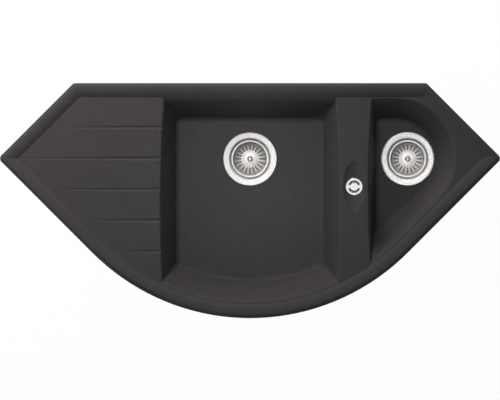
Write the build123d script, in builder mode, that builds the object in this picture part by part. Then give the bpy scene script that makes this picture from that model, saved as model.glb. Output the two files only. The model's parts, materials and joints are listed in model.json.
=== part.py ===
from build123d import *
import math
import os

os.makedirs("parts", exist_ok=True)

# A corner kitchen sink with a drainer, a main bowl and a small side bowl.
# Millimetres. The origin is the middle of the back edge, on the worktop:
# +X runs to the right, +Y to the wall behind and +Z up. The rim rests on z = 0.

# ---------------------------------------------------------------- outline of the sink
overall_width = 1057
overall_depth = 497
back_edge = 746
front_radius = 471
tip_radius = 9.5
back_corner_radius = 9.5

# ---------------------------------------------------------------- rim and deck
rim_height = 10
deck_height = 3.5
rim_width = 30
crest_inset = 10
edge_round = 9
shelf_start = 9
seat_width = 15
plate_under = 6

# ---------------------------------------------------------------- walls of both bowls
wall = 9
floor_thickness = 10
floor_round = 12
back_lip = 26
back_lip_lead = 30
side_lip = 4
front_lip = 8.5
mouth_corner = 1
floor_corner = 15
back_mouth_inset = 40
back_floor_inset = 71
front_mouth_inset = 37

# ---------------------------------------------------------------- main bowl
main_bowl_depth = 190
main_half_width_back = 181.5
main_half_width_middle = 189.5
main_half_width_front = 185
main_half_width_floor = 157
main_front_floor_inset = 78

# ---------------------------------------------------------------- small bowl
small_bowl_depth = 130
divider_back = 77
divider_middle = 61.5
divider_front = 71
small_left_lean = 14
small_side_floor_inset = 69
small_front_floor_inset = 68
shortest_side = 3
least_bulge = 0.05

# ---------------------------------------------------------------- drainer
groove_count = 5
groove_pitch = 65.5
first_groove = 93.9
groove_depth = 2.5
groove_cutter = 5
groove_margin = 34
groove_start = 0.4
shortest_groove = 30

# ---------------------------------------------------------------- strainer wastes
waste_back = 159.4
small_waste_from_divider = 84
waste_hole = 45.5
flange_overlap = 10.9
flange_recess = 2.2
recess_gap = 1.2
sheet_metal = 1
gasket = 1.2
body_gasket_height = 3
body_depth = 57
dish_depth = 31
dish_ports = 6
dish_port = 7.5
dish_port_ring = 17.5
spigot_radius = 24
spigot_bore = 20
screw_shank = 2.95
screw_head = 5.5
screw_boss = 6.5
boss_top = 42
boss_bottom = 52
web = 3
strainer_hole = 1.6
strainer_hole_sides = 6
strainer_holes = 20
strainer_rings = 3
strainer_ring_pitch = 5.35
strainer_ring_inset = 13
knob_ball = 6.5
knob_top = 5
stem_radius = 3.5
stem_head = 6
stopper_foot = -24.3
running_gap = 0.05

# ---------------------------------------------------------------- overflow
overflow_back = 219
scoop_length = 109
scoop_width = 47
scoop_depth = 8
overflow_pad = 12
overflow_hole = 15
cover_radius = 18.2
cover_gap = 0.8
cover_sink = 0.5
cover_slot_width = 5
cover_slot_radius = 10.9
sleeve_radius = 14.6
sleeve_length = 30
cover_slot_half = 62
seal_height = 2
tail_flange = 20.5
tail_length = 58
overflow_thread = 14
overflow_pipe_radius = 11
pipe_wall = 1.6
overflow_bend = 40
port_drop = 32
port_length = 29.5
socket_depth = 16

# ---------------------------------------------------------------- pipework
drain_radius = 20
drain_wall = 2.5
drain_bend = 45
link_drop = 104
socket_reach = 26
union_washer = 2
outlet_length = 40
nut_height = 20
nut_wall = 4
nut_lip = 2.5
nut_lugs = 6
nut_lug = 4
union_stack = 5
fit_gap = 0.3

# ---------------------------------------------------------------- fixing clips
worktop = 38
clip_inset = 24
clip_from_bowl = 75
boss_width = 15
boss_length = 27
boss_drop = 28
claw_width = 16
claw_sheet = 2.5
claw_reach = 20
claw_heel = 11
claw_corner = 4
claw_tooth = 3
claw_screw_head = 4.6
screw_head_height = 3.2
screw_radius = 2.45
insert_radius = 3.45
insert_length = 14
insert_hole = 22

slope = math.sqrt(0.5)
back_half = back_edge / 2
tip_x = overall_width / 2 + tip_radius * (math.sqrt(2) - 1)
tip_y = back_half - tip_x
front_centre = front_radius - overall_depth
tip_reach = math.hypot(tip_x, tip_y - front_centre)
front_angle = math.atan2(tip_y - front_centre, tip_x) - math.acos(front_radius / tip_reach)
front_normal = (math.cos(front_angle), math.sin(front_angle))
flange_radius = waste_hole + flange_overlap
port_reach = waste_hole + port_length
main_floor = deck_height - main_bowl_depth
small_floor = deck_height - small_bowl_depth
divider_x = main_half_width_middle + divider_middle / 2
overflow_y = -overflow_back
main_waste = (0, -waste_back)
small_waste = (main_half_width_middle + divider_middle + small_waste_from_divider, -waste_back)

# A side of the outline is its outward normal and its distance from the origin.
back_side = (0, 1, 0)
right_back_side = (slope, slope, back_half * slope)
right_front_side = (*front_normal, front_radius + front_normal[1] * front_centre)


def crossing(first, first_inset, second, second_inset):
    """The point where two sides of the outline meet, each moved inwards by its inset."""
    a, b, c = first[0], first[1], first[2] - first_inset
    d, e, f = second[0], second[1], second[2] - second_inset
    turn = a * e - b * d
    return ((c * e - b * f) / turn, (a * f - c * d) / turn)


def front_tangent(inset):
    """The point where the straight right front side runs into the front arc."""
    reach = front_radius - inset
    return (reach * front_normal[0], front_centre + reach * front_normal[1])


def front_edge(x, inset):
    """Y of the front of the outline at x, moved inwards by the inset."""
    if x >= front_tangent(inset)[0]:
        side = right_front_side
        return (side[2] - inset - side[0] * x) / side[1]
    return front_centre - math.sqrt((front_radius - inset) ** 2 - x**2)


def side_edge(y, inset):
    """X of the right end of the outline at y, moved inwards by the inset."""
    upper = (right_back_side[2] - inset - slope * y) / slope
    if y >= front_tangent(inset)[1]:
        side = right_front_side
        return min(upper, (side[2] - inset - side[1] * y) / side[0])
    return min(upper, math.sqrt((front_radius - inset) ** 2 - (y - front_centre) ** 2))


def outline(inset, right_back_inset=None):
    """The plan of the sink moved inwards; the right back side can have its own inset."""
    if right_back_inset is None:
        right_back_inset = inset
    left_corner = crossing(back_side, inset, right_back_side, inset)
    left_tip = crossing(right_back_side, inset, right_front_side, inset)
    corner = crossing(back_side, inset, right_back_side, right_back_inset)
    tip = crossing(right_back_side, right_back_inset, right_front_side, inset)
    tangent = front_tangent(inset)
    with BuildSketch() as plan:
        with BuildLine():
            Line((-left_corner[0], -inset), corner)
            Line(corner, tip)
            Line(tip, tangent)
            ThreePointArc(tangent, (0, inset - overall_depth), (-tangent[0], tangent[1]))
            Line((-tangent[0], tangent[1]), (-left_tip[0], left_tip[1]))
            Line((-left_tip[0], left_tip[1]), (-left_corner[0], -inset))
        make_face()
    return plan.sketch


def wall_run(depth, bowl_depth, lip, mouth, foot, lead=0):
    """How far a bowl's wall has come in from the rim of the sink at a depth.

    The wall leans in a straight line from mouth to foot, with a round lip above
    it and a round at the floor. The lip has already turned by the lead, in
    degrees, where it leaves the deck.
    """
    lean = math.atan((foot - mouth) / bowl_depth)
    half = math.tan((math.pi / 2 - lean) / 2)
    lip_reach = lip * half
    raised = lip * (1 - math.cos(math.radians(lead)))
    fallen = depth + raised
    if fallen < lip_reach * math.cos(lean):
        lip_end = mouth - raised * math.tan(lean)
        return lip_end - lip_reach + math.sqrt(max(2 * lip * fallen - fallen**2, 0))
    round_reach = floor_round * half
    left = bowl_depth - depth
    if left < round_reach * math.cos(lean):
        return foot + round_reach - math.sqrt(floor_round**2 - (floor_round - left) ** 2)
    return mouth + depth * math.tan(lean)


def corner_round(depth, bowl_depth, largest):
    """Radius of a bowl's upright corner: sharp at the mouth, wide at the floor."""
    straight = mouth_corner + (largest - mouth_corner) * depth / bowl_depth
    return straight - (wall_run(depth, bowl_depth, side_lip, 0, 0) if depth > bowl_depth / 2 else 0)


lip_steps = [0, 0.3, 1.4, 4, 9, 18]
floor_steps = [floor_round, 7.4, 3.7, 1.2, 0]


def depth_steps(bowl_depth):
    return lip_steps + [bowl_depth - step for step in floor_steps]


def main_bowl_plan(level, back, half_back, half_middle, half_front, front, corner):
    """The main bowl's plan at one height, as a sketch."""
    low_y = front_edge(half_front, front)
    middle_y = (low_y - back) / 2
    half_middle = max(half_middle, (half_back + half_front) / 2 + least_bulge)
    back_right = (half_back, -back)
    front_right = (half_front, low_y)
    with BuildSketch(Plane.XY.offset(level)) as plan:
        with BuildLine():
            Line((-half_back, -back), back_right)
            ThreePointArc(back_right, (half_middle, middle_y), front_right)
            ThreePointArc(front_right, (0, front_edge(0, front)), (-half_front, low_y))
            ThreePointArc((-half_front, low_y), (-half_middle, middle_y), (-half_back, -back))
        make_face()
        fillet(plan.vertices(), corner)
    return plan.sketch


def main_bowl_section(depth, level):
    halves = []
    for half in (main_half_width_back, main_half_width_middle, main_half_width_front):
        halves.append(-wall_run(depth, main_bowl_depth, side_lip, -half, -main_half_width_floor))
    return main_bowl_plan(
        level,
        wall_run(depth, main_bowl_depth, back_lip, back_mouth_inset, back_floor_inset, back_lip_lead),
        *halves,
        wall_run(depth, main_bowl_depth, front_lip, front_mouth_inset, main_front_floor_inset),
        corner_round(depth, main_bowl_depth, floor_corner),
    )


def small_bowl_plan(level, back, left_back, left_middle, left_front, side, front, corner):
    """The small bowl's plan: a straight divider wall, and round where it follows the sink's tip."""
    top = crossing(back_side, back, right_back_side, side)
    end = crossing(right_back_side, side, right_front_side, front)
    turn_top = math.tan(math.pi / 8)
    turn_end = math.tan((math.pi / 4 - front_angle) / 2)
    large = (math.dist(top, end) - shortest_side) / (turn_top + turn_end)
    low_y = front_edge(left_front, front)
    middle_y = (low_y - back) / 2
    left_middle = min(left_middle, (left_back + left_front) / 2 - least_bulge)
    meet_x = max(front_tangent(front)[0], left_front + 2.2 * floor_corner)
    meet = (meet_x, front_edge(meet_x, front))
    between_x = (meet_x + left_front) / 2
    low_left = (left_front, low_y)
    with BuildSketch(Plane.XY.offset(level)) as plan:
        with BuildLine():
            Line((left_back, -back), top)
            Line(top, end)
            Line(end, meet)
            ThreePointArc(meet, (between_x, front_edge(between_x, front) - least_bulge), low_left)
            ThreePointArc(low_left, (left_middle, middle_y), (left_back, -back))
        make_face()
        fillet(plan.vertices().sort_by_distance(top)[0], large)
        fillet(plan.vertices().sort_by_distance(end)[0], large)
        fillet(plan.vertices().sort_by_distance(low_left)[0], corner)
        fillet(plan.vertices().sort_by_distance((left_back, -back))[0], corner)
    return plan.sketch


def small_bowl_section(depth, level):
    halves = (main_half_width_back, main_half_width_middle, main_half_width_front)
    widths = (divider_back, divider_middle, divider_front)
    foot = main_half_width_middle + divider_middle + small_left_lean
    lefts = [
        wall_run(depth, small_bowl_depth, side_lip, half + width, foot)
        for half, width in zip(halves, widths)
    ]
    return small_bowl_plan(
        level,
        wall_run(depth, small_bowl_depth, back_lip, back_mouth_inset, back_floor_inset, back_lip_lead),
        *lefts,
        wall_run(
            depth, small_bowl_depth, back_lip, back_mouth_inset, small_side_floor_inset, back_lip_lead
        ),
        wall_run(depth, small_bowl_depth, front_lip, front_mouth_inset, small_front_floor_inset),
        corner_round(depth, small_bowl_depth, floor_corner),
    )


def bowl_hollow(section, bowl_depth):
    """The space inside a bowl, open above the deck."""
    layers = [section(0, rim_height + 10)]
    for depth in depth_steps(bowl_depth):
        layers.append(section(depth, deck_height - depth))
    return loft(layers, ruled=True)


def bowl_shell(plan, walls, bowl_depth):
    """The outside of a bowl: walls of even thickness round the hollow, down to a sloped foot."""
    layers = []
    foot = bowl_depth + floor_thickness
    for depth, inwards in ((deck_height + plate_under / 2, 0), (foot - wall, 0), (foot, wall)):
        share = min(depth, bowl_depth) / bowl_depth
        insets = [mouth + (end - mouth) * share - wall + inwards for mouth, end in walls]
        layers.append(plan(deck_height - depth, insets))
    return loft(layers, ruled=True)


def main_shell_plan(level, insets):
    back, half_back, half_middle, half_front, front = insets
    halves = (-half_back, -half_middle, -half_front)
    return main_bowl_plan(level, back, *halves, front, floor_corner + wall)


def small_shell_plan(level, insets):
    return small_bowl_plan(level, *insets, floor_corner)


# Each wall of a bowl as its place at the mouth and at the floor.
foot_left = main_half_width_middle + divider_middle + small_left_lean
main_walls = [
    (back_mouth_inset, back_floor_inset),
    (-main_half_width_back, -main_half_width_floor),
    (-main_half_width_middle, -main_half_width_floor),
    (-main_half_width_front, -main_half_width_floor),
    (front_mouth_inset, main_front_floor_inset),
]
small_walls = [
    (back_mouth_inset, back_floor_inset),
    (main_half_width_back + divider_back, foot_left),
    (main_half_width_middle + divider_middle, foot_left),
    (main_half_width_front + divider_front, foot_left),
    (back_mouth_inset, small_side_floor_inset),
    (front_mouth_inset, small_front_floor_inset),
]


def deck_pocket():
    """What is cleared above the deck: it leaves the rolled rim, and a plain shelf on the right."""
    drop = rim_height - deck_height
    run = rim_width - crest_inset
    inner = outline(rim_width, -2 * rim_width)
    with BuildSketch(Plane((0, -rim_width, deck_height), x_dir=(0, 1, 0), z_dir=(1, 0, 0))) as bead:
        with BuildLine():
            Polyline((0, 0), (0, rim_width), (run, rim_width), (run, drop))
            TangentArc((run, drop), (0, 0), tangent=(-1, 0))
        make_face()
    with BuildPart() as pocket:
        sweep(bead.sketch, path=inner.face().outer_wire(), transition=Transition.RIGHT)
        with BuildSketch(Plane.XY.offset(deck_height)):
            add(inner)
        extrude(amount=rim_width)
        far = 2 * overall_width
        fall = drop / (rim_width - shelf_start) * (far - shelf_start)
        middle = right_back_side[2] * slope
        shelf_plane = Plane((middle, middle, 0), x_dir=(-slope, -slope, 0), z_dir=(-slope, slope, 0))
        with BuildSketch(shelf_plane):
            with BuildLine():
                Polyline(
                    (shelf_start, rim_height),
                    (far, rim_height - fall),
                    (far, rim_width),
                    (shelf_start, rim_width),
                    close=True,
                )
            make_face()
        extrude(amount=far, both=True, mode=Mode.INTERSECT)
    return pocket.part


def along_right_back(distance):
    """A clip's place and outward turn on the right back side, at a distance from the tip."""
    tip = crossing(right_back_side, clip_inset, right_front_side, clip_inset)
    return (tip[0] - distance * slope, tip[1] + distance * slope), 45


def along_right_front(distance):
    """A clip's place and outward turn on the right front side, at a distance from the tip."""
    tip = crossing(right_back_side, clip_inset, right_front_side, clip_inset)
    place = (tip[0] + distance * front_normal[1], tip[1] - distance * front_normal[0])
    return place, math.degrees(front_angle)


def along_front(x):
    """A clip's place and outward turn on the front arc."""
    y = front_edge(abs(x), clip_inset)
    return (x, y), math.degrees(math.atan2(y - front_centre, x))


def mirrored(place_and_turn):
    (x, y), turn = place_and_turn
    return (-x, y), 180 - turn


half_side = math.dist((back_half, 0), (tip_x, tip_y)) / 2
clip_places = [
    ((-back_half + 95, -clip_inset), 90),
    ((-rim_width, -clip_inset), 90),
    ((divider_x, -clip_inset), 90),
    along_right_back(half_side),
    along_right_front(1.5 * clip_inset),
    along_front(divider_x),
    along_front(-main_half_width_middle - clip_from_bowl),
    mirrored(along_right_front(half_side)),
    mirrored(along_right_back(half_side)),
]
boss_foot = -plate_under - boss_drop
pad_foot = -plate_under - overflow_pad
cover_seat = deck_height - scoop_depth - cover_sink

with BuildPart() as sink_body:
    with BuildSketch():
        add(outline(0))
        corners = vertices().sort_by(Axis.X)
        fillet([corners[0], corners[-1]], tip_radius)
        fillet(vertices().group_by(Axis.Y)[-1], back_corner_radius)
    extrude(amount=rim_height)
    fillet(faces().sort_by(Axis.Z)[-1].outer_wire().edges(), edge_round)
    with BuildSketch(Plane.XY.offset(-plate_under)):
        add(outline(seat_width))
    extrude(amount=plate_under)
    add(deck_pocket(), mode=Mode.SUBTRACT)
    add(bowl_shell(main_shell_plan, main_walls, main_bowl_depth))
    add(bowl_shell(small_shell_plan, small_walls, small_bowl_depth))
    # pad under the divider that carries the overflow
    with BuildSketch(Plane.XY.offset(pad_foot)):
        with Locations((divider_x, overflow_y)):
            Rectangle(divider_middle - wall, scoop_length + 2 * wall)
    extrude(amount=overflow_pad + plate_under)
    # bosses for the fixing clips
    for place, turn in clip_places:
        with BuildSketch(Plane.XY.offset(boss_foot)):
            with Locations(Location((*place, 0), turn)):
                SlotCenterPoint((-(boss_length - boss_width) / 2, 0), (0, 0), boss_width)
        extrude(amount=boss_drop + plate_under)
    add(bowl_hollow(main_bowl_section, main_bowl_depth), mode=Mode.SUBTRACT)
    add(bowl_hollow(small_bowl_section, small_bowl_depth), mode=Mode.SUBTRACT)
    # blind holes for the brass inserts of the clips
    for place, turn in clip_places:
        with Locations((*place, boss_foot)):
            Cylinder(
                insert_radius + running_gap,
                insert_hole,
                align=(Align.CENTER, Align.CENTER, Align.MIN),
                mode=Mode.SUBTRACT,
            )
    # drainer grooves, deeper towards the bowl
    for count in range(groove_count):
        groove_y = -first_groove - count * groove_pitch
        end_x = groove_margin - side_edge(groove_y, rim_width)
        mouth_x = -main_half_width_back
        if mouth_x - end_x > shortest_groove:
            run = (mouth_x - end_x, 0, groove_start - groove_depth)
            start_level = deck_height + groove_cutter - groove_start
            start = Plane((end_x, groove_y, start_level), x_dir=(0, 1, 0), z_dir=run)
            with BuildSketch(start.offset(-groove_margin / 2)):
                Circle(groove_cutter)
            extrude(amount=math.hypot(*run) + groove_margin, mode=Mode.SUBTRACT)
    # scoop on the divider that leads down to the overflow
    lift = (scoop_width**2 / 4 + scoop_depth**2) / (2 * scoop_depth) - scoop_depth
    bend = (scoop_length**2 / 4 + scoop_depth**2) / (2 * scoop_depth)
    over = scoop_length / 2 + wall
    over_rise = bend - math.sqrt(bend**2 - over**2) - scoop_depth
    with BuildSketch(Plane((divider_x, overflow_y, deck_height), x_dir=(0, 1, 0), z_dir=(1, 0, 0))):
        with BuildLine():
            ThreePointArc((-over, over_rise), (0, -scoop_depth), (over, over_rise))
            Polyline((over, over_rise), (over, lift), (-over, lift), (-over, over_rise))
        make_face()
    revolve(axis=Axis((divider_x, 0, deck_height + lift), (0, 1, 0)), mode=Mode.SUBTRACT)
    with BuildSketch(Plane.XY.offset(cover_seat)):
        with Locations((divider_x, overflow_y)):
            Circle(cover_radius + cover_gap)
    extrude(amount=rim_width, mode=Mode.SUBTRACT)
    with BuildSketch(Plane.XY.offset(pad_foot)):
        with Locations((divider_x, overflow_y)):
            Circle(overflow_hole)
    extrude(amount=overflow_pad + rim_width, mode=Mode.SUBTRACT)
    # seats and holes for the strainer wastes
    for place, floor in ((main_waste, main_floor), (small_waste, small_floor)):
        with BuildSketch(Plane.XY.offset(floor - flange_recess)):
            with Locations(place):
                Circle(flange_radius + recess_gap)
        extrude(amount=floor_round, mode=Mode.SUBTRACT)
        with BuildSketch(Plane.XY.offset(floor - floor_thickness)):
            with Locations(place):
                Circle(waste_hole)
        extrude(amount=floor_thickness, mode=Mode.SUBTRACT)


def sheet(points):
    """A closed profile of thin sheet below a run of points on its upper face."""
    normals = []
    for first, second in zip(points, points[1:]):
        length = math.dist(first, second)
        normals.append(((first[1] - second[1]) / length, (second[0] - first[0]) / length))
    lower = []
    for point, before, after in zip(points, [normals[0], *normals], [*normals, normals[-1]]):
        share = sheet_metal / (1 + before[0] * after[0] + before[1] * after[1])
        across = point[0] + share * (before[0] + after[0])
        lower.append((across, point[1] + share * (before[1] + after[1])))
    return [*points, *reversed(lower)]


def turned(place, level, profile):
    """A solid turned about an upright axis from a closed profile of radius and height."""
    with BuildPart() as piece:
        with BuildSketch(Plane((*place, level), x_dir=(1, 0, 0), z_dir=(0, -1, 0))):
            with BuildLine():
                Polyline(*profile, close=True)
            make_face()
        revolve(axis=Axis((*place, 0), (0, 0, 1)))
    return piece.part


def ring(place, bottom, top, inner, outer):
    return turned(place, 0, [(inner, bottom), (outer, bottom), (outer, top), (inner, top)])


def union_nut(mouth, thread, pipe):
    """A grip nut over a threaded end; the mouth plane looks out of that end."""
    outer = thread + fit_gap + nut_wall
    lip_end = union_stack + nut_lip
    with BuildPart() as nut:
        with BuildSketch(mouth.offset(lip_end - nut_height)):
            Circle(outer)
            with PolarLocations(outer, nut_lugs):
                Rectangle(nut_lug, nut_lug * 1.5)
        extrude(amount=nut_height)
        with BuildSketch(mouth.offset(lip_end - nut_height)):
            Circle(thread + fit_gap)
        extrude(amount=nut_height - nut_lip, mode=Mode.SUBTRACT)
        with BuildSketch(mouth):
            Circle(pipe + fit_gap)
        extrude(amount=nut_height, mode=Mode.SUBTRACT)
    return nut.part


def tube(first, points, bend, outer, inner):
    """A tube along a path of straight runs with round bends; the first plane looks along its start."""
    with BuildPart() as piece:
        with BuildLine() as path:
            if len(points) > 2:
                FilletPolyline(*points, radius=bend)
            else:
                Line(*points)
        with BuildSketch(first):
            Circle(outer)
            Circle(inner, mode=Mode.SUBTRACT)
        sweep(path=path.wire())
    return piece.part


def keep(piece, name):
    """Name a finished piece and write its file."""
    piece.label = name
    export_step(piece, "parts/" + name + ".step")


keep(sink_body.part, "sink_body")

# ---------------------------------------------------------------- strainer wastes
overflow_turn = math.atan2(main_waste[1] - overflow_y, main_waste[0] - divider_x)
towards_overflow = (-math.cos(overflow_turn), -math.sin(overflow_turn), 0)
port_level = main_floor - port_drop
gasket_face = gasket - flange_recess
body_face = -floor_thickness - body_gasket_height
spigot_face = body_face - body_depth
cup_inner = waste_hole - 1
foot_plate = -dish_depth
stopper_lip = cup_inner - 13.5

# upper face of the pressed dish, from the flange to the screw hole, as radius and height
dish_run = [
    (flange_radius, gasket_face + sheet_metal + 0.05),
    (flange_radius - 2.4, gasket_face + sheet_metal + 0.5),
    (flange_radius - 8, gasket_face + sheet_metal + 0.55),
    (cup_inner + 0.6, gasket_face + sheet_metal - 0.4),
    (cup_inner - 1.6, -3.5),
    (cup_inner - 2.6, -11),
    (cup_inner - 6.1, -15.8),
    (cup_inner - 7.9, -19.4),
    (stopper_lip - 2, -24),
    (stopper_lip - 4, foot_plate),
    (screw_shank + running_gap, foot_plate),
]
# upper face of the basket's cup, from its rolled rim to the hole for the stem
basket_run = [
    (cup_inner - 4.5, -5.4),
    (cup_inner - 5.5, -3.8),
    (cup_inner - 7.1, -3.8),
    (cup_inner - 8.1, -5.4),
    (cup_inner - 9.9, -16.4),
    (cup_inner - 11.1, -18),
    (18.6, -18),
    (16.4, -15.6),
    (12, -12.2),
    (7, -11),
    (stem_radius + running_gap, -11),
]

for name, place, floor in (("main_", main_waste, main_floor), ("small_", small_waste, small_floor)):
    keep(
        ring(place, floor - flange_recess, floor + gasket_face, flange_radius - 7.5, flange_radius - 1),
        name + "flange_gasket",
    )
    with BuildPart() as waste_flange:
        add(turned(place, floor, sheet(dish_run)))
        with BuildSketch(Plane.XY.offset(floor + foot_plate - 2 * sheet_metal)):
            with Locations(place):
                with PolarLocations(dish_port_ring, dish_ports):
                    Circle(dish_port)
        extrude(amount=3 * sheet_metal, mode=Mode.SUBTRACT)
    keep(waste_flange.part, name + "waste_flange")
    keep(
        ring(place, floor + body_face, floor - floor_thickness, waste_hole + 0.5, waste_hole + 8.5),
        name + "body_gasket",
    )
    cup_profile = [
        (waste_hole + 8.5, body_face),
        (waste_hole + 8.5, body_face - 4),
        (cup_inner + 3, body_face - 4),
        (cup_inner + 3, -41.2),
        (spigot_radius, -48.5),
        (spigot_radius, spigot_face),
        (spigot_bore, spigot_face),
        (spigot_bore, -46),
        (cup_inner, -39),
        (cup_inner, body_face),
    ]
    with BuildPart() as waste_body:
        add(turned(place, floor, cup_profile))
        # centre boss on three webs, which takes the clamping screw
        with BuildSketch(Plane.XY.offset(floor - boss_bottom)):
            with Locations(place):
                Circle(screw_boss)
                with PolarLocations(0, 3):
                    Rectangle(spigot_bore + 1, web, align=(Align.MIN, Align.CENTER))
                Circle(screw_shank + running_gap, mode=Mode.SUBTRACT)
        extrude(amount=boss_bottom - boss_top)
        if place is main_waste:
            # side port for the overflow pipe, with a wider socket at its mouth
            port = Plane((*place, port_level), x_dir=(0, 0, 1), z_dir=towards_overflow)
            with BuildSketch(port.offset(cup_inner + 1)):
                Circle(overflow_thread)
            extrude(amount=port_reach - cup_inner - 1)
            with BuildSketch(port.offset(cup_inner - 1)):
                Circle(overflow_pipe_radius - pipe_wall)
            extrude(amount=port_reach, mode=Mode.SUBTRACT)
            with BuildSketch(port.offset(port_reach - socket_depth)):
                Circle(overflow_pipe_radius + fit_gap)
            extrude(amount=port_reach, mode=Mode.SUBTRACT)
    keep(waste_body.part, name + "waste_body")
    with BuildPart() as clamp_screw:
        with Locations((*place, floor + foot_plate)):
            Cylinder(screw_head, 2.5, align=(Align.CENTER, Align.CENTER, Align.MIN))
        with Locations((*place, floor + foot_plate + 2.5)):
            Box(2 * screw_head, 1.2, 2.4, mode=Mode.SUBTRACT)
        with Locations((*place, floor - boss_bottom + 1)):
            Cylinder(
                screw_shank,
                boss_bottom - 1 + foot_plate,
                align=(Align.CENTER, Align.CENTER, Align.MIN),
            )
    keep(clamp_screw.part, name + "clamp_screw")
    with BuildPart() as basket_cup:
        add(turned(place, floor, sheet(basket_run)))
        with BuildSketch(Plane.XY.offset(floor - dish_depth)):
            with Locations(place):
                for count in range(strainer_rings):
                    ring_radius = cup_inner - strainer_ring_inset - count * strainer_ring_pitch
                    with PolarLocations(ring_radius, strainer_holes):
                        RegularPolygon(strainer_hole, strainer_hole_sides)
        extrude(amount=dish_depth, mode=Mode.SUBTRACT)
    keep(basket_cup.part, name + "basket_cup")
    with BuildPart() as basket_knob:
        with Locations((*place, floor + knob_top - knob_ball)):
            Sphere(knob_ball)
        add(
            turned(
                place,
                floor,
                [
                    (0, knob_top - knob_ball),
                    (stem_radius, knob_top - knob_ball),
                    (stem_radius, stopper_foot),
                    (stem_head, stopper_foot),
                    (stem_head, stopper_foot - 1.5),
                    (0, stopper_foot - 1.5),
                ],
            )
        )
    keep(basket_knob.part, name + "basket_knob")
    keep(
        turned(
            place,
            floor,
            [
                (stem_radius + running_gap, -12.2),
                (8, -14),
                (10, -19.6),
                (stopper_lip - 5, -20.4),
                (stopper_lip, -22),
                (stopper_lip, -22.4),
                (stopper_lip - 5, -22.2),
                (13, -22),
                (10, stopper_foot),
                (stem_radius + running_gap, stopper_foot),
            ],
        ),
        name + "stopper",
    )

# ---------------------------------------------------------------- overflow
overflow_place = (divider_x, overflow_y)
with BuildPart() as overflow_cover:
    add(
        turned(
            overflow_place,
            cover_seat,
            [
                (0, 0),
                (sleeve_radius - 1, 0),
                (sleeve_radius - 1, -sleeve_length),
                (sleeve_radius, -sleeve_length),
                (sleeve_radius, 0),
                (cover_radius, 0),
                (cover_radius, 1),
                (cover_radius - 1, 1.8),
                (cover_radius - 7, 2.5),
                (0, 2.9),
            ],
        )
    )
    for half_turn in (0, 180):
        with BuildSketch(Plane.XY.offset(cover_seat - 1)):
            with Locations(Location((*overflow_place, 0), half_turn)):
                with BuildLine(mode=Mode.PRIVATE) as slot_line:
                    CenterArc((0, 0), cover_slot_radius, 90 - cover_slot_half, 2 * cover_slot_half)
                SlotArc(slot_line.edge(), cover_slot_width)
        extrude(amount=5, mode=Mode.SUBTRACT)
keep(overflow_cover.part, "overflow_cover")
seal_foot = pad_foot - seal_height
keep(
    ring(overflow_place, seal_foot, pad_foot, overflow_hole + 0.5, tail_flange),
    "overflow_seal",
)
keep(
    turned(
        overflow_place,
        seal_foot,
        [
            (sleeve_radius + running_gap, 0),
            (tail_flange, 0),
            (tail_flange, -4),
            (sleeve_radius + 2.6, -4),
            (sleeve_radius + 2.6, -22),
            (overflow_thread, -26),
            (overflow_thread, -tail_length),
            (overflow_pipe_radius + fit_gap, -tail_length),
            (overflow_pipe_radius + fit_gap, -tail_length + socket_depth),
            (overflow_pipe_radius - pipe_wall, -tail_length + socket_depth),
            (overflow_pipe_radius - pipe_wall, -26),
            (sleeve_radius + running_gap, -22),
        ],
    ),
    "overflow_tail",
)
tail_mouth = seal_foot - tail_length
pipe_top = (divider_x, overflow_y, tail_mouth + socket_depth - 1)
port_mouth = Plane(
    (
        main_waste[0] + port_reach * towards_overflow[0],
        main_waste[1] + port_reach * towards_overflow[1],
        port_level,
    ),
    x_dir=(0, 0, 1),
    z_dir=towards_overflow,
)
keep(
    tube(
        Plane(pipe_top, x_dir=(1, 0, 0), z_dir=(0, 0, -1)),
        [pipe_top, (divider_x, overflow_y, port_level), port_mouth.offset(1 - socket_depth).origin],
        overflow_bend,
        overflow_pipe_radius,
        overflow_pipe_radius - pipe_wall,
    ),
    "overflow_pipe",
)
tail_plane = Plane((divider_x, overflow_y, tail_mouth), x_dir=(1, 0, 0), z_dir=(0, 0, -1))
for name, mouth in (("top", tail_plane), ("bottom", port_mouth)):
    keep(union_nut(mouth, overflow_thread, overflow_pipe_radius), "overflow_nut_" + name)
    with BuildPart() as pipe_seal:
        with BuildSketch(mouth):
            Circle(overflow_thread)
            Circle(overflow_pipe_radius + running_gap, mode=Mode.SUBTRACT)
        extrude(amount=union_stack)
    keep(pipe_seal.part, "overflow_washer_" + name)

# ---------------------------------------------------------------- pipework to the drain
link_level = small_floor + spigot_face - link_drop
main_end = main_floor + spigot_face
small_end = small_floor + spigot_face
tee_foot = link_level - drain_radius - spigot_radius / 2
outlet_foot = tee_foot - outlet_length
link_left = spigot_radius + socket_reach
link_right = small_waste[0] - drain_bend - socket_reach


def tail_flange_tube(place, end):
    """The flanged end that a union nut draws up against a waste's spigot."""
    return turned(
        place,
        end - union_washer,
        [
            (drain_radius - drain_wall, 0),
            (spigot_radius, 0),
            (spigot_radius, union_washer - union_stack),
            (drain_radius - 1, union_washer - union_stack),
            (drain_radius - 1, -2 * union_stack),
            (drain_radius - drain_wall, -2 * union_stack),
        ],
    )


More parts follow.
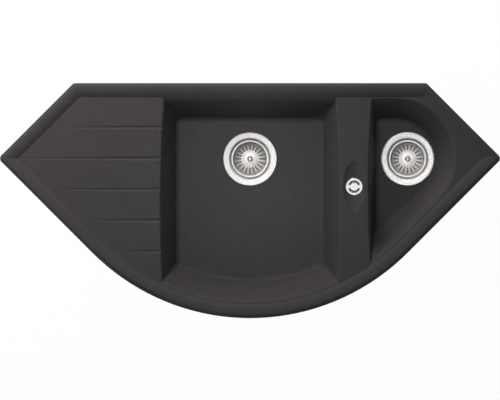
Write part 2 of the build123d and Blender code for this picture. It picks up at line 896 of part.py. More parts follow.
with BuildPart() as main_tee:
    add(tail_flange_tube(main_waste, main_end))
    with BuildSketch(Plane.XY.offset(outlet_foot)):
        with Locations(main_waste):
            Circle(drain_radius)
    extrude(amount=main_end - union_stack - outlet_foot)
    with BuildSketch(Plane.XY.offset(tee_foot)):
        with Locations(main_waste):
            Circle(spigot_radius)
    extrude(amount=2 * spigot_radius + 4)
    with BuildSketch(Plane((*main_waste, link_level), x_dir=(0, 1, 0), z_dir=(1, 0, 0))):
        Circle(spigot_radius)
    extrude(amount=link_left)
    with BuildSketch(Plane.XY.offset(outlet_foot)):
        with Locations(main_waste):
            Circle(drain_radius - drain_wall)
    extrude(amount=main_end - outlet_foot, mode=Mode.SUBTRACT)
    with BuildSketch(Plane((*main_waste, link_level), x_dir=(0, 1, 0), z_dir=(1, 0, 0))):
        Circle(drain_radius - drain_wall)
    extrude(amount=link_left, mode=Mode.SUBTRACT)
    with BuildSketch(
        Plane((link_left - socket_depth, main_waste[1], link_level), x_dir=(0, 1, 0), z_dir=(1, 0, 0))
    ):
        Circle(drain_radius + fit_gap)
    extrude(amount=socket_depth, mode=Mode.SUBTRACT)
keep(main_tee.part, "main_tee")

elbow_top = (*small_waste, small_end - union_stack)
with BuildPart() as small_elbow:
    add(tail_flange_tube(small_waste, small_end))
    add(
        tube(
            Plane(elbow_top, x_dir=(1, 0, 0), z_dir=(0, 0, -1)),
            [elbow_top, (*small_waste, link_level), (link_right, small_waste[1], link_level)],
            drain_bend,
            drain_radius,
            drain_radius - drain_wall,
        )
    )
    with BuildSketch(
        Plane((link_right, small_waste[1], link_level), x_dir=(0, 1, 0), z_dir=(1, 0, 0))
    ):
        Circle(spigot_radius)
    extrude(amount=socket_reach)
    with BuildSketch(
        Plane((link_right, small_waste[1], link_level), x_dir=(0, 1, 0), z_dir=(1, 0, 0))
    ):
        Circle(drain_radius - drain_wall)
    extrude(amount=socket_reach, mode=Mode.SUBTRACT)
    with BuildSketch(
        Plane((link_right, small_waste[1], link_level), x_dir=(0, 1, 0), z_dir=(1, 0, 0))
    ):
        Circle(drain_radius + fit_gap)
    extrude(amount=socket_depth, mode=Mode.SUBTRACT)
keep(small_elbow.part, "small_elbow")

pipe_start = (link_left - socket_depth + 1, main_waste[1], link_level)
keep(
    tube(
        Plane(pipe_start, x_dir=(0, 1, 0), z_dir=(1, 0, 0)),
        [pipe_start, (link_right + socket_depth - 1, main_waste[1], link_level)],
        0,
        drain_radius,
        drain_radius - drain_wall,
    ),
    "link_pipe",
)
left_mouth = Plane((link_left, main_waste[1], link_level), x_dir=(0, 1, 0), z_dir=(1, 0, 0))
right_mouth = Plane((link_right, main_waste[1], link_level), x_dir=(0, 1, 0), z_dir=(-1, 0, 0))
for name, mouth in (("left", left_mouth), ("right", right_mouth)):
    keep(union_nut(mouth, spigot_radius, drain_radius), "link_nut_" + name)
    with BuildPart() as link_seal:
        with BuildSketch(mouth):
            Circle(spigot_radius)
            Circle(drain_radius + running_gap, mode=Mode.SUBTRACT)
        extrude(amount=union_stack)
    keep(link_seal.part, "link_seal_" + name)
for name, place, end in (("main", main_waste, main_end), ("small", small_waste, small_end)):
    mouth = Plane((*place, end), x_dir=(1, 0, 0), z_dir=(0, 0, -1))
    keep(union_nut(mouth, spigot_radius, drain_radius), name + "_union_nut")
    keep(ring(place, end - union_washer, end, spigot_bore, spigot_radius), name + "_union_washer")

# ---------------------------------------------------------------- fixing clips
claw_top = -worktop - claw_tooth
claw_foot = claw_top - claw_sheet
with BuildPart() as clip_inserts:
    for place, turn in clip_places:
        with BuildSketch(Plane.XY.offset(boss_foot)):
            with Locations(place):
                RegularPolygon(insert_radius, 6)
                Circle(screw_radius + running_gap, mode=Mode.SUBTRACT)
        extrude(amount=insert_length)
keep(clip_inserts.part, "clip_inserts")
with BuildPart() as clip_screws:
    for place, turn in clip_places:
        with BuildSketch(Plane.XY.offset(claw_foot - screw_head_height)):
            with Locations(place):
                RegularPolygon(claw_screw_head, 6)
        extrude(amount=screw_head_height)
        with BuildSketch(Plane.XY.offset(claw_foot)):
            with Locations(place):
                Circle(screw_radius)
        extrude(amount=boss_foot + insert_length + 4 - claw_foot)
keep(clip_screws.part, "clip_screws")
for number, (place, turn) in enumerate(clip_places, start=1):
    turn_angle = math.radians(turn)
    outwards = (math.cos(turn_angle), math.sin(turn_angle), 0)
    side = Plane((*place, 0), x_dir=outwards, z_dir=(outwards[1], -outwards[0], 0))
    with BuildPart() as clip_claw:
        with BuildSketch(side):
            with BuildLine():
                Polyline(
                    (-claw_heel, claw_foot),
                    (claw_reach, claw_foot),
                    (claw_reach, -worktop),
                    (claw_reach - claw_sheet, -worktop),
                    (claw_reach - claw_sheet, claw_top),
                    (claw_sheet - claw_heel, claw_top),
                    (claw_sheet - claw_heel, boss_foot - fit_gap),
                    (-claw_heel, boss_foot - fit_gap),
                    close=True,
                )
            make_face()
        extrude(amount=claw_width / 2, both=True)
        with BuildSketch(Plane.XY.offset(claw_foot)):
            with Locations(Location((*place, 0), turn)):
                with Locations(((claw_reach - claw_heel) / 2, 0)):
                    Rectangle(claw_heel + claw_reach, claw_width)
            chamfer(vertices(), claw_corner)
        extrude(amount=worktop, mode=Mode.INTERSECT)
        with BuildSketch(Plane.XY.offset(claw_foot)):
            with Locations(place):
                Circle(screw_radius + running_gap)
        extrude(amount=2 * claw_sheet, mode=Mode.SUBTRACT)
    keep(clip_claw.part, "clip_claw_" + str(number))
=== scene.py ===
import bpy
import json
import math
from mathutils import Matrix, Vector


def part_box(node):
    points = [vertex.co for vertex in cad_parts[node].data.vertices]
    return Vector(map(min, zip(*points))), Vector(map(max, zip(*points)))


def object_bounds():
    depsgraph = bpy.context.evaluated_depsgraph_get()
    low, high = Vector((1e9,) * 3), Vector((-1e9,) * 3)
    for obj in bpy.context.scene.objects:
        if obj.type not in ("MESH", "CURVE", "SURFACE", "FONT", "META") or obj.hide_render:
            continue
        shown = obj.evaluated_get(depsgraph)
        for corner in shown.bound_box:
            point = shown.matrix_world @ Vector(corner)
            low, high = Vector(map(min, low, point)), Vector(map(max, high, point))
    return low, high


# Corner kitchen sink: finishes, floor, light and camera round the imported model, in metres.
# +X runs to the right along the sink's back edge, +Y to the wall behind it, and +Z up.
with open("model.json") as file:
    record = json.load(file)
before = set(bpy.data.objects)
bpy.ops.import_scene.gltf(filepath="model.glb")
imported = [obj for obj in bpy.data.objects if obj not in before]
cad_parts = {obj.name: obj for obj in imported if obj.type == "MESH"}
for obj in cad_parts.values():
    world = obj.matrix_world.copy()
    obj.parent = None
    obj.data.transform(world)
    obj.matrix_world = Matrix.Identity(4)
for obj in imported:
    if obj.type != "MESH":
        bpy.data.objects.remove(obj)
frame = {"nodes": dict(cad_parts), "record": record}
cad_low, cad_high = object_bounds()
nodes = frame["nodes"]

# ------------------------------------------------------------ camera, straight down
PHOTO_WIDTH = 500
PHOTO_HEIGHT = 400
BACK_EDGE_ROW = 83.1  # the photograph's row of pixels at the sink's back edge
LENS = 800  # very long, as the photograph shows hardly any perspective
SENSOR = 36
CLIP_END = 200
sink_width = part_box("sink_body")[1][0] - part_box("sink_body")[0][0]
metres_per_pixel = sink_width / PHOTO_WIDTH  # the sink is as wide as the photograph
camera_height = sink_width * LENS / SENSOR

camera_data = bpy.data.cameras.new("camera")
camera_data.lens = LENS
camera_data.sensor_width = SENSOR
camera_data.clip_end = CLIP_END
camera = bpy.data.objects.new("camera", camera_data)
camera.location = (0, (BACK_EDGE_ROW - PHOTO_HEIGHT / 2) * metres_per_pixel, camera_height)
bpy.context.scene.collection.objects.link(camera)
bpy.context.scene.camera = camera
bpy.context.scene.view_settings.view_transform = "Standard"


# ------------------------------------------------------------ building node trees
def new_group(name, inputs, outputs):
    """A shader node group with named sockets; returns it with its input and output nodes."""
    group = bpy.data.node_groups.new(name, "ShaderNodeTree")
    for label, kind, value in inputs:
        socket = group.interface.new_socket(label, in_out="INPUT", socket_type=kind)
        socket.default_value = value
    for label, kind in outputs:
        group.interface.new_socket(label, in_out="OUTPUT", socket_type=kind)
    return group, group.nodes.new("NodeGroupInput"), group.nodes.new("NodeGroupOutput")


def hand_out(group, made, results):
    """Links each named result to a group's output node, and returns the group."""
    for label, result in results.items():
        group.links.new(result, made.inputs[label])
    return group


def feed(tree, value, socket):
    """Feeds an input: a node's output is linked to it, and a plain value is set on it."""
    if isinstance(value, bpy.types.NodeSocket):
        tree.links.new(value, socket)
    else:
        socket.default_value = value


def own_place(tree):
    """The object's own coordinates, in metres."""
    return tree.nodes.new("ShaderNodeTexCoord").outputs["Object"]


def noise(tree, scale, detail):
    """Soft noise over the object's own coordinates."""
    node = tree.nodes.new("ShaderNodeTexNoise")
    feed(tree, scale, node.inputs["Scale"])
    node.inputs["Detail"].default_value = detail
    tree.links.new(own_place(tree), node.inputs["Vector"])
    return node.outputs["Fac"]


def noise_along(tree, position, detail):
    """Soft noise along a line, for a position on it."""
    node = tree.nodes.new("ShaderNodeTexNoise")
    node.noise_dimensions = "1D"
    node.inputs["Scale"].default_value = 1
    node.inputs["Detail"].default_value = detail
    tree.links.new(position, node.inputs["W"])
    return node.outputs["Fac"]


def grains(tree, scale):
    """Grains over the object's own coordinates, each with random numbers of its own."""
    node = tree.nodes.new("ShaderNodeTexVoronoi")
    node.inputs["Scale"].default_value = scale
    tree.links.new(own_place(tree), node.inputs["Vector"])
    numbers = tree.nodes.new("ShaderNodeSeparateColor")
    tree.links.new(node.outputs["Color"], numbers.inputs["Color"])
    return numbers.outputs


def remap(tree, source, span, to_span=(0, 1)):
    """A value spread from one span to another, and held inside it."""
    node = tree.nodes.new("ShaderNodeMapRange")
    node.inputs["From Min"].default_value, node.inputs["From Max"].default_value = span
    node.inputs["To Min"].default_value, node.inputs["To Max"].default_value = to_span
    tree.links.new(source, node.inputs["Value"])
    return node.outputs["Result"]


def mix(tree, factor, first, second, kind="RGBA", blend="MIX"):
    """Two colours mixed, or two values where the kind is FLOAT."""
    node = tree.nodes.new("ShaderNodeMix")
    node.data_type = kind
    node.blend_type = blend
    in_use = {socket.name: socket for socket in node.inputs if socket.enabled}
    for label, value in (("Factor", factor), ("A", first), ("B", second)):
        feed(tree, value, in_use[label])
    return next(socket for socket in node.outputs if socket.enabled)


def arithmetic(tree, operation, first, second=0):
    """A calculation on two values; ROUND and SQRT use only the first."""
    node = tree.nodes.new("ShaderNodeMath")
    node.operation = operation
    feed(tree, first, node.inputs[0])
    feed(tree, second, node.inputs[1])
    return node.outputs["Value"]


def vector_node(tree, operation, first):
    """A vector node with its first input fed."""
    node = tree.nodes.new("ShaderNodeVectorMath")
    node.operation = operation
    tree.links.new(first, node.inputs[0])
    return node


def offset_from(tree, centre):
    """The way from a centre to each point of the object."""
    node = vector_node(tree, "SUBTRACT", own_place(tree))
    tree.links.new(centre, node.inputs[1])
    return node.outputs["Vector"]


def diagonal(tree, first, second):
    """The length of the long side of a right triangle."""
    squares = [arithmetic(tree, "POWER", side, 2) for side in (first, second)]
    return arithmetic(tree, "SQRT", arithmetic(tree, "ADD", *squares))


# ------------------------------------------------------------ shared effects
# grains, clouds and rings are counts for each metre; a span is the part of a texture's
# values that is spread out, and what lies past its ends is cut off
MINERAL_GRAINS = 1400
LIGHT_FLECKS = (0.86, 0.93)
DARK_FLECKS = (0.78, 0.9)
FLECK_POLISH = -0.12
STONE_CLOUDS = 9
CLOUD_SPAN = (0.3, 0.7)
CLOUD_TONES = (0.97, 1.03)
CLOUD_WEAR = (0.94, 1.06)
RESIN_GRAINS = 2600
RESIN_SPAN = (0.25, 0.75)
RESIN_TONES = (0.86, 1.14)


def stone_fleck_group():
    """Fine mineral flecks in a dark resin, with slow drifts of tone."""
    group, given, made = new_group(
        "stone fleck",
        [
            ("Base", "NodeSocketColor", (0.05, 0.05, 0.05, 1)),
            ("Light Fleck", "NodeSocketColor", (0.1, 0.1, 0.1, 1)),
            ("Dark Fleck", "NodeSocketColor", (0.02, 0.02, 0.02, 1)),
            ("Roughness", "NodeSocketFloat", 0.6),
        ],
        [
            ("Color", "NodeSocketColor"),
            ("Roughness", "NodeSocketFloat"),
            ("Height", "NodeSocketFloat"),
        ],
    )
    grain = grains(group, MINERAL_GRAINS)
    light = remap(group, grain["Red"], LIGHT_FLECKS)
    dark = remap(group, grain["Green"], DARK_FLECKS)
    cloud = noise(group, STONE_CLOUDS, detail=3)
    resin = noise(group, RESIN_GRAINS, detail=2)
    tone = mix(group, dark, given.outputs["Base"], given.outputs["Dark Fleck"])
    tone = mix(group, light, tone, given.outputs["Light Fleck"])
    tone_drift_and_painted_sheen = remap(group, cloud, CLOUD_SPAN, CLOUD_TONES)
    shade = arithmetic(group, "MULTIPLY", tone_drift_and_painted_sheen, remap(group, resin, RESIN_SPAN, RESIN_TONES))
    shaded = vector_node(group, "SCALE", tone)
    group.links.new(shade, shaded.inputs["Scale"])
    # the light flecks are glossier than the resin round them
    worn = arithmetic(group, "MULTIPLY", remap(group, cloud, CLOUD_SPAN, CLOUD_WEAR), light)
    less = arithmetic(group, "MULTIPLY", worn, FLECK_POLISH)
    return hand_out(
        group,
        made,
        {
            "Color": shaded.outputs["Vector"],
            "Roughness": arithmetic(group, "ADD", given.outputs["Roughness"], less),
            "Height": arithmetic(group, "ADD", resin, light),
        },
    )


FLAT = (1, 1, 0)  # leaves the height out
# the way the painted sheen grows across the metal
PAINTED_SHEEN_WAY = (0.6, -0.8, 0)  # to the front right
SCUFF_CLOUDS = 30
SCUFF_SPAN = (0.25, 0.75)


def ring_grain_group():
    """Fine rings left by turning or spinning, round an upright axis, and a painted sheen that
    lightens the metal towards the front right.
    """
    group, given, made = new_group(
        "ring grain",
        [
            ("Centre", "NodeSocketVector", (0, 0, 0)),
            ("Rings", "NodeSocketFloat", 1600),
            ("Reach", "NodeSocketFloat", 0.056),
        ],
        [
            ("Mask", "NodeSocketFloat"),
            ("Scuffs", "NodeSocketFloat"),
            ("Painted Sheen", "NodeSocketFloat"),
            ("Radius", "NodeSocketFloat"),
        ],
    )
    flat = vector_node(group, "MULTIPLY", offset_from(group, given.outputs["Centre"]))
    flat.inputs[1].default_value = FLAT
    radius = vector_node(group, "LENGTH", flat.outputs["Vector"]).outputs["Value"]
    ring = arithmetic(group, "MULTIPLY", radius, given.outputs["Rings"])
    along = vector_node(group, "DOT_PRODUCT", flat.outputs["Vector"])
    along.inputs[1].default_value = PAINTED_SHEEN_WAY
    share = arithmetic(group, "DIVIDE", along.outputs["Value"], given.outputs["Reach"])
    return hand_out(
        group,
        made,
        {
            "Mask": noise_along(group, ring, detail=2),
            "Scuffs": remap(group, noise(group, SCUFF_CLOUDS, detail=1), SCUFF_SPAN),
            # painted sheen: 0 at the back left, rising to 1 at the front right
            "Painted Sheen": remap(group, share, (-1, 1)),
            "Radius": radius,
        },
    )


TURN = 2 * math.pi


def hole_shade_group():
    """Painted shade round each of the holes punched in rings about an upright axis."""
    group, given, made = new_group(
        "painted hole shade",
        [
            ("Centre", "NodeSocketVector", (0, 0, 0)),
            ("Holes", "NodeSocketFloat", 20),
            ("First Ring", "NodeSocketFloat", 0.0208),
            ("Pitch", "NodeSocketFloat", 0.00535),
            ("Last Ring", "NodeSocketFloat", 2),
            ("Hole Radius", "NodeSocketFloat", 0.0016),
            ("Shade Radius", "NodeSocketFloat", 0.0026),
        ],
        [("Mask", "NodeSocketFloat")],
    )
    holes, pitch = given.outputs["Holes"], given.outputs["Pitch"]
    split = group.nodes.new("ShaderNodeSeparateXYZ")
    group.links.new(offset_from(group, given.outputs["Centre"]), split.inputs["Vector"])
    across, along = split.outputs["X"], split.outputs["Y"]
    radius = diagonal(group, across, along)
    # the way along the ring to its nearest hole
    turns = arithmetic(group, "DIVIDE", arithmetic(group, "ARCTAN2", along, across), TURN)
    step = arithmetic(group, "MULTIPLY", turns, holes)
    share = arithmetic(group, "SUBTRACT", step, arithmetic(group, "ROUND", step))
    spacing = arithmetic(group, "DIVIDE", arithmetic(group, "MULTIPLY", radius, TURN), holes)
    sideways = arithmetic(group, "MULTIPLY", share, spacing)
    # the way outwards from the nearest ring of holes
    beyond = arithmetic(group, "SUBTRACT", radius, given.outputs["First Ring"])
    ring = arithmetic(group, "ROUND", arithmetic(group, "DIVIDE", beyond, pitch))
    ring = arithmetic(group, "MINIMUM", ring, given.outputs["Last Ring"])
    ring = arithmetic(group, "MAXIMUM", ring, 0)
    outwards = arithmetic(group, "SUBTRACT", beyond, arithmetic(group, "MULTIPLY", ring, pitch))
    # painted shade, from 0 at its outer edge to 1 at the hole's edge
    edge = given.outputs["Shade Radius"]
    inside = arithmetic(group, "SUBTRACT", edge, diagonal(group, sideways, outwards))
    shade_width = arithmetic(group, "SUBTRACT", edge, given.outputs["Hole Radius"])
    painted_shade_amount = arithmetic(group, "DIVIDE", inside, shade_width)
    return hand_out(group, made, {"Mask": remap(group, painted_shade_amount, (0, 1))})


GRIME_CLOUDS = 24
GRIME_SPAN = (0.4, 0.75)


def moulded_skin_group():
    """The faint texture of a moulded, rubber or plated surface, with a little grime."""
    group, given, made = new_group(
        "moulded skin",
        [
            ("Base", "NodeSocketColor", (0.8, 0.8, 0.8, 1)),
            ("Grime", "NodeSocketColor", (0.5, 0.48, 0.44, 1)),
            ("Grime Amount", "NodeSocketFloat", 0.1),
            ("Grain Size", "NodeSocketFloat", 900),
        ],
        [
            ("Color", "NodeSocketColor"),
            ("Height", "NodeSocketFloat"),
            ("Mask", "NodeSocketFloat"),
        ],
    )
    mask = remap(group, noise(group, GRIME_CLOUDS, detail=4), GRIME_SPAN)
    amount = arithmetic(group, "MULTIPLY", mask, given.outputs["Grime Amount"])
    return hand_out(
        group,
        made,
        {
            "Color": mix(group, amount, given.outputs["Base"], given.outputs["Grime"]),
            "Height": noise(group, given.outputs["Grain Size"], detail=2),
            "Mask": mask,
        },
    )


stone_fleck = stone_fleck_group()
ring_grain = ring_grain_group()
moulded_skin = moulded_skin_group()
painted_hole_shade = hole_shade_group()


# ------------------------------------------------------------ materials
def place_group(tree, group, settings):
    """One of the groups placed in a material, with its own settings; returns its outputs."""
    effect = tree.nodes.new("ShaderNodeGroup")
    effect.node_tree = group
    for label, value in settings.items():
        effect.inputs[label].default_value = value
    return effect.outputs


def new_material(name, group, settings):
    """A material, its tree, its Principled shader, and the outputs of the group in it."""
    material = bpy.data.materials.new(name)
    material.use_nodes = True
    tree = material.node_tree
    return material, tree, tree.nodes["Principled BSDF"], place_group(tree, group, settings)


def add_bump(tree, shader, height, distance, strength):
    """Small relief on a material from a height socket."""
    bump = tree.nodes.new("ShaderNodeBump")
    bump.inputs["Strength"].default_value = strength
    bump.inputs["Distance"].default_value = distance
    tree.links.new(height, bump.inputs["Height"])
    tree.links.new(bump.outputs["Normal"], shader.inputs["Normal"])


def stone_material():
    """Dark matt stone composite, as the sink is moulded from."""
    material, tree, shader, effect = new_material(
        "dark stone composite",
        stone_fleck,
        {
            "Base": (0.0496, 0.0479, 0.0474, 1),
            "Light Fleck": (0.073, 0.07, 0.069, 1),
            "Dark Fleck": (0.032, 0.031, 0.031, 1),
            "Roughness": 0.7,
        },
    )
    tree.links.new(effect["Color"], shader.inputs["Base Color"])
    tree.links.new(effect["Roughness"], shader.inputs["Roughness"])
    shader.inputs["Specular IOR Level"].default_value = 0.07
    add_bump(tree, shader, effect["Height"], distance=0.00008, strength=0.35)
    return material


STEEL_TONES = ((0.93, 0.92, 0.91, 1), (0.82, 0.81, 0.8, 1))
CHROME_TONES = ((0.9, 0.9, 0.9, 1), (0.8, 0.8, 0.8, 1))
STEEL_RINGS = 1500
CHROME_RINGS = 900
METALLIC = 0.85
# the painted sheen scales the metal's colour from the first number at the back left to the
# second at the front right
PAINTED_SHEEN_SPAN = (0.8, 1.08)
SCUFFED = 1.06
RING_BUMP = 0.06
# the colour of the painted shade round each punched hole
HOLE_SHADE = (0.03, 0.03, 0.03, 1)
# bands round an axis with painted light, darker for painted shade and lighter for a painted
# highlight: inner and outer radius, two tones, and how metallic they are
AT_AXIS = -1  # less than any radius, so that the band reaches the middle
BAND_BLEND = 0.0004
BAND_PAINTED_SHEEN_SPAN = (0.2, 0.9)
# the cone and the rolled rim are painted lighter, a painted highlight; the perforated bands are
# painted darker, painted shade
BASKET_PAINTED_LIGHT_BANDS = [
    (AT_AXIS, 0.0215, (1.03, 1.1), 0.15),
    (0.0215, 0.0275, (0.42, 0.66), 0.5),
    (0.0275, 0.0356, (0.24, 0.52), 0.5),
    (0.0356, 0.041, (1.03, 1.1), 0.4),
]
# the dish inside the flange's inner lip is painted darker, painted shade in its recess
DISH_PAINTED_SHADE_BANDS = [(AT_AXIS, 0.0452, (0.62, 0.72), 0.2)]


def turned_metal(name, tones, roughness, centre, rings, relief, painted_light_bands=(), holes=False):
    """Metal with fine rings round an axis, for dishes, baskets and covers.

    Its colour carries a painted sheen, darker at the back left and lighter at the front right,
    and a band's two tones are painted the same way.
    """
    settings = {"Centre": centre, "Rings": rings}
    material, tree, shader, effect = new_material(name, ring_grain, settings)
    grain = mix(tree, effect["Mask"], *tones)
    # painted sheen put into the metal's colour
    tone_drift_and_painted_sheen = remap(tree, effect["Painted Sheen"], (0, 1), PAINTED_SHEEN_SPAN)
    tone = mix(tree, 1, grain, tone_drift_and_painted_sheen, blend="MULTIPLY")
    metallic = METALLIC
    for inner, outer, painted_band_tones, band_metallic in painted_light_bands:
        begins = (inner - BAND_BLEND, inner + BAND_BLEND)
        ends = (outer - BAND_BLEND, outer + BAND_BLEND)
        begun = remap(tree, effect["Radius"], begins)
        mask = arithmetic(tree, "MULTIPLY", begun, remap(tree, effect["Radius"], ends, (1, 0)))
        # the band's painted light follows the painted sheen across the metal
        band_painted_sheen = remap(tree, effect["Painted Sheen"], BAND_PAINTED_SHEEN_SPAN, painted_band_tones)
        painted_band_tone = mix(tree, 1, grain, band_painted_sheen, blend="MULTIPLY")
        # a band's painted shade or painted highlight put into the colour
        tone = mix(tree, mask, tone, painted_band_tone)
        metallic = mix(tree, mask, metallic, band_metallic, kind="FLOAT")
    if holes:
        hole_shade_mask = place_group(tree, painted_hole_shade, {"Centre": centre})
        # painted shade round each punched hole, put into the basket's colour
        tone = mix(tree, hole_shade_mask["Mask"], tone, HOLE_SHADE)
    feed(tree, tone, shader.inputs["Base Color"])
    feed(tree, metallic, shader.inputs["Metallic"])
    rough = remap(tree, effect["Scuffs"], (0, 1), (roughness, roughness * SCUFFED))
    tree.links.new(rough, shader.inputs["Roughness"])
    add_bump(tree, shader, effect["Mask"], distance=relief, strength=RING_BUMP)
    return material


# a skin's grain, the relief it makes, and how much rougher its grime is
PLATED_SKIN = {"grain": 700, "relief": 0.00005, "strength": 0.25, "rougher": 0.15}
MOULDED_SKIN = {"grain": 900, "relief": 0.00006, "strength": 0.3, "rougher": 0.12}
PLATED_GRIME_SHARE = 0.6
PLATED_GRIME_AMOUNT = 0.35


def skinned(name, colour, grime, amount, roughness, skin=MOULDED_SKIN, metallic=0):
    """A piece with an even skin and a little grime: pipework plastic or seal rubber."""
    settings = {
        "Base": (*colour, 1),
        "Grime": (*grime, 1),
        "Grime Amount": amount,
        "Grain Size": skin["grain"],
    }
    material, tree, shader, effect = new_material(name, moulded_skin, settings)
    shader.inputs["Metallic"].default_value = metallic
    tree.links.new(effect["Color"], shader.inputs["Base Color"])
    rough = remap(tree, effect["Mask"], (0, 1), (roughness, roughness + skin["rougher"]))
    tree.links.new(rough, shader.inputs["Roughness"])
    add_bump(tree, shader, effect["Height"], skin["relief"], skin["strength"])
    return material


def plated_metal(name, colour, roughness):
    """Zinc plated or brass pieces, whose grime is a darker shade of their own colour."""
    grime = [part * PLATED_GRIME_SHARE for part in colour]
    return skinned(
        name, colour, grime, PLATED_GRIME_AMOUNT, roughness, skin=PLATED_SKIN, metallic=1
    )


def middle(node):
    """The middle of a node's box."""
    low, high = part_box(node)
    return [(a + b) / 2 for a, b in zip(low, high)]


KNOB_ROUGHNESS = 0.22
FLANGE_ROUGHNESS = 0.26
BASKET_ROUGHNESS = 0.3
STEEL_RELIEF = 0.00004
CHROME_RELIEF = 0.00002
finishes = {"sink_body": stone_material()}
for bowl in ("main", "small"):
    axis = middle(bowl + "_waste_flange")
    for piece, finish, roughness, painted_light_bands, holes in (
        ("_basket_knob", " knob steel", KNOB_ROUGHNESS, (), False),
        ("_waste_flange", " waste steel", FLANGE_ROUGHNESS, DISH_PAINTED_SHADE_BANDS, False),
        ("_basket_cup", " basket steel", BASKET_ROUGHNESS, BASKET_PAINTED_LIGHT_BANDS, True),
    ):
        finishes[bowl + piece] = turned_metal(
            bowl + finish, STEEL_TONES, roughness, axis, STEEL_RINGS, STEEL_RELIEF, painted_light_bands, holes
        )
finishes["overflow_cover"] = turned_metal(
    "overflow chrome", CHROME_TONES, roughness=0.12, centre=middle("overflow_cover"),
    rings=CHROME_RINGS, relief=CHROME_RELIEF,
)

# the other pieces take their finish by the record's material slots
zinc = plated_metal("zinc plated steel", colour=(0.62, 0.63, 0.64), roughness=0.32)
brass = plated_metal("insert brass", colour=(0.72, 0.53, 0.27), roughness=0.3)
rubber = skinned(
    "seal rubber", colour=(0.022, 0.022, 0.022), grime=(0.05, 0.048, 0.045),
    amount=0.4, roughness=0.62,
)
pipe_plastic = skinned(
    "pipe plastic", colour=(0.8, 0.8, 0.79), grime=(0.62, 0.6, 0.56),
    amount=0.16, roughness=0.38,
)
nut_plastic = skinned(
    "nut plastic", colour=(0.72, 0.72, 0.71), grime=(0.55, 0.53, 0.5),
    amount=0.16, roughness=0.42,
)
by_slot = {
    "screws": zinc,
    "claws": zinc,
    "inserts": brass,
    "seals": rubber,
    "pipes": pipe_plastic,
    "nuts": nut_plastic,
}
slot_of = {entry["node"]: entry["material_slot"] for entry in frame["record"]["subparts"]}

for name, node in nodes.items():
    node.data.materials.clear()
    node.data.materials.append(finishes.get(name) or by_slot[slot_of[name]])

# ------------------------------------------------------------ floor
FLOOR_GAP = 0.002
FLOOR_REACH = 30
FLOOR_COLOUR = (0.7, 0.7, 0.7, 1)
FLOOR_ROUGHNESS = 0.9
FLOOR_GLOW = 0.93  # the rest of what the camera sees there is the lit floor with its shadow
GLOW_STRENGTH = 1.03
WHITE = (1, 1, 1, 1)

floor_level = cad_low[2] - FLOOR_GAP
corners = [
    (x * FLOOR_REACH, y * FLOOR_REACH, floor_level)
    for x, y in ((-1, -1), (1, -1), (1, 1), (-1, 1))
]
floor_mesh = bpy.data.meshes.new("floor")
floor_mesh.from_pydata(corners, [], [(0, 1, 2, 3)])
floor = bpy.data.objects.new("floor", floor_mesh)
bpy.context.scene.collection.objects.link(floor)


def background_rays(tree):
    """The light paths, and 1 where the camera, a mirror or glass sees the background."""
    paths = tree.nodes.new("ShaderNodeLightPath").outputs
    seen = arithmetic(tree, "MAXIMUM", paths["Is Camera Ray"], paths["Is Glossy Ray"])
    return paths, arithmetic(tree, "MAXIMUM", seen, paths["Is Transmission Ray"])


def mix_shaders(tree, share, first, second):
    """Two shaders mixed by a share."""
    node = tree.nodes.new("ShaderNodeMixShader")
    tree.links.new(share, node.inputs["Fac"])
    tree.links.new(first, node.inputs[1])
    tree.links.new(second, node.inputs[2])
    return node.outputs["Shader"]


def floor_material():
    """Pale floor, near white to the camera, with a soft shadow left on it.

    From below it is clear, so that low views show the pipework.
    """
    material = bpy.data.materials.new("pale floor")
    material.use_nodes = True
    tree = material.node_tree
    shader = tree.nodes["Principled BSDF"]
    shader.inputs["Base Color"].default_value = FLOOR_COLOUR
    shader.inputs["Roughness"].default_value = FLOOR_ROUGHNESS
    glow = tree.nodes.new("ShaderNodeEmission")
    glow.inputs["Color"].default_value = WHITE
    glow.inputs["Strength"].default_value = GLOW_STRENGTH
    seen = background_rays(tree)[1]
    share = arithmetic(tree, "MULTIPLY", seen, FLOOR_GLOW)
    pale = mix_shaders(tree, share, shader.outputs["BSDF"], glow.outputs["Emission"])
    below = tree.nodes.new("ShaderNodeNewGeometry").outputs["Backfacing"]
    clear = tree.nodes.new("ShaderNodeBsdfTransparent").outputs["BSDF"]
    surface = tree.nodes["Material Output"].inputs["Surface"]
    tree.links.new(mix_shaders(tree, below, pale, clear), surface)
    return material


floor_mesh.materials.append(floor_material())

# ------------------------------------------------------------ surroundings and lamps
AMBIENT = 0.25
HORIZON = 0.3
HORIZON_SPAN = (0, 0.45)
WARM_LIGHT = (1, 0.94, 0.92)
PLAIN_LIGHT = (1, 1, 1)


def set_world():
    """Surroundings: white to the camera, in metal darker to the horizon, and dim as light."""
    world = bpy.data.worlds.new("surroundings")
    bpy.context.scene.world = world
    world.use_nodes = True
    tree = world.node_tree
    backdrop = tree.nodes["Background"]
    backdrop.inputs["Color"].default_value = WHITE
    paths, seen = background_rays(tree)
    direction = tree.nodes.new("ShaderNodeTexCoord")
    split = tree.nodes.new("ShaderNodeSeparateXYZ")
    tree.links.new(direction.outputs["Generated"], split.inputs["Vector"])
    reflected = remap(tree, split.outputs["Z"], HORIZON_SPAN, (HORIZON, 1))
    strength = mix(tree, seen, AMBIENT, reflected, kind="FLOAT")
    strength = arithmetic(tree, "MAXIMUM", strength, paths["Is Camera Ray"])
    tree.links.new(strength, backdrop.inputs["Strength"])


small_pieces = bpy.data.collections.new("all pieces but the sink body")
for name, node in nodes.items():
    if name != "sink_body":
        small_pieces.objects.link(node)


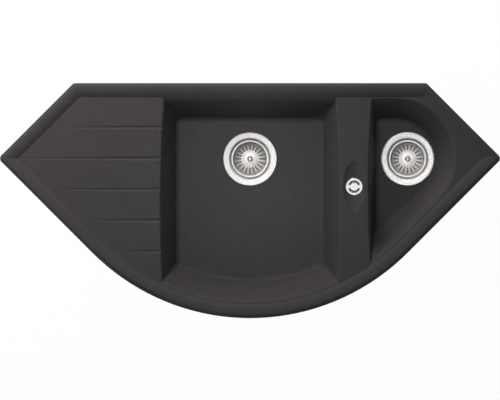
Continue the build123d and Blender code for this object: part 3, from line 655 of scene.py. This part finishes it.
def add_lamp(
    name, place, target, size, power, colour=PLAIN_LIGHT, mirrored=False, spread=180,
    held_back_by=None, falls_on=None,
):
    """A square soft lamp that looks at a point; its spread is in degrees.

    A lamp that isn't mirrored doesn't show in polished metal. Only the pieces of one
    collection hold its light back, and it falls only on another's, where those are given.
    """
    data = bpy.data.lights.new(name, "AREA")
    data.shape = "SQUARE"
    data.size = size
    data.energy = power
    data.color = colour
    data.spread = math.radians(spread)
    lamp = bpy.data.objects.new(name, data)
    lamp.location = place
    lamp.visible_glossy = mirrored
    lamp.rotation_euler = (Vector(target) - Vector(place)).to_track_quat("-Z", "Y").to_euler()
    lamp.light_linking.blocker_collection = held_back_by
    lamp.light_linking.receiver_collection = falls_on
    bpy.context.scene.collection.objects.link(lamp)


set_world()
sink_middle = (0, -0.22, -0.05)
drainer_corner = (-0.4, -0.05, 0)
main_floor_middle = (0, -0.2, -0.18)
small_floor_middle = (0.33, -0.17, -0.12)
pipework = (0.15, -0.2, -0.25)

# the walls of the bowls don't hold back these three, only the smaller pieces do
add_lamp(
    "back lamp", (-0.35, 1.35, 0.75), sink_middle, size=0.8, power=28,
    colour=WARM_LIGHT, mirrored=True, held_back_by=small_pieces,
)
add_lamp(
    "left lamp", (-1.5, -0.1, 0.8), sink_middle, size=0.8, power=6.2,
    colour=WARM_LIGHT, mirrored=True, held_back_by=small_pieces,
)
add_lamp(
    "corner lamp", (-0.75, 0.3, 0.45), drainer_corner, size=0.4, power=0.5,
    colour=WARM_LIGHT, spread=90, held_back_by=small_pieces,
)
add_lamp("top lamp", (-0.5, 0.2, 2.8), sink_middle, size=1.6, power=7.8)
add_lamp("bowl lamp", (0, -0.2, 0.5), main_floor_middle, size=0.2, power=0.12, spread=50)
add_lamp(
    "small bowl lamp", (0.33, -0.17, 0.4), small_floor_middle, size=0.15, power=0.09,
    spread=50, falls_on=small_pieces,
)
# the pipework is lit from the front as well, so that its white shows
add_lamp(
    "front lamp", (0.6, -1.5, -0.12), pipework, size=0.8, power=14, falls_on=small_pieces
)
